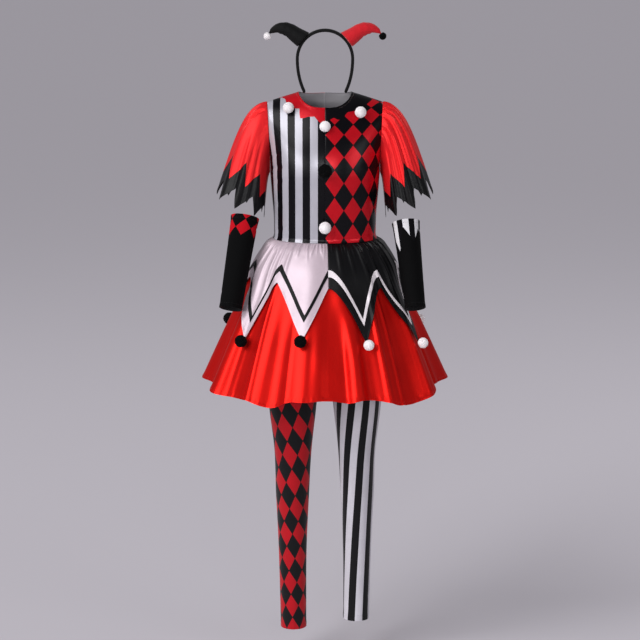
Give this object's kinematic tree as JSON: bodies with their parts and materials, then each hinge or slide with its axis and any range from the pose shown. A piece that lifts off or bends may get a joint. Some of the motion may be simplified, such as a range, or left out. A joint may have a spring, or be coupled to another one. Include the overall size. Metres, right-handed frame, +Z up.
{
  "type": "clown costume",
  "caption": "Jester-style clown costume in worn shape: short dress with pointed overskirt and pompoms, horned headband, arm warmers and patterned leggings.",
  "frame": {"origin": "midway between the two points where the shoulder seams meet the neckline, where the wearer's shoulders carry the dress", "axes": "+Z up along the wearer, -Y towards the wearer's front, +X towards the wearer's left"},
  "size_m": [0.6631, 0.6164, 1.6588],
  "materials": {
    "red_satin": "polyester satin, red",
    "white_satin": "polyester satin, white",
    "black_satin": "polyester satin, black",
    "striped_satin": "printed polyester, black and white stripes",
    "diamond_satin": "printed polyester, red diamonds on black",
    "black_knit": "stretch knit, black, printed at the top of the arm warmers",
    "striped_knit": "stretch knit, black and white stripes",
    "diamond_knit": "stretch knit, red diamonds on black",
    "black_cloth": "brushed polyester cloth, black",
    "red_cloth": "brushed polyester cloth, red",
    "white_pompom": "acrylic yarn pompom, white",
    "black_pompom": "acrylic yarn pompom, black"
  },
  "bodies": {
    "root": {"arm_warmer_left": "black_knit", "arm_warmer_right": "black_knit", "bodice_back_left": "diamond_satin", "bodice_back_right": "striped_satin", "bodice_front_left": "diamond_satin", "bodice_front_right": "striped_satin", "headband_band": "black_cloth", "horn_left": "red_cloth", "horn_right": "black_cloth", "leggings_left": "striped_knit", "leggings_right": "diamond_knit", "leggings_waistband": "black_knit", "overskirt_left": "black_satin", "overskirt_line_left": "white_satin", "overskirt_line_right": "black_satin", "overskirt_right": "white_satin", "pompom_collar_left": "white_pompom", "pompom_collar_right": "white_pompom", "pompom_front_bottom": "white_pompom", "pompom_front_middle": "black_pompom", "pompom_front_top": "white_pompom", "pompom_horn_left": "black_pompom", "pompom_horn_right": "white_pompom", "pompom_tip_left_1": "white_pompom", "pompom_tip_left_2": "white_pompom", "pompom_tip_left_3": "white_pompom", "pompom_tip_left_4": "white_pompom", "pompom_tip_left_5": "white_pompom", "pompom_tip_right_1": "black_pompom", "pompom_tip_right_2": "black_pompom", "pompom_tip_right_3": "black_pompom", "pompom_tip_right_4": "black_pompom", "pompom_tip_right_5": "black_pompom", "skirt_back": "red_satin", "skirt_front": "red_satin", "sleeve_left": "red_satin", "sleeve_points_left": "black_satin", "sleeve_points_right": "black_satin", "sleeve_right": "red_satin"}
  },
  "joints": []
}
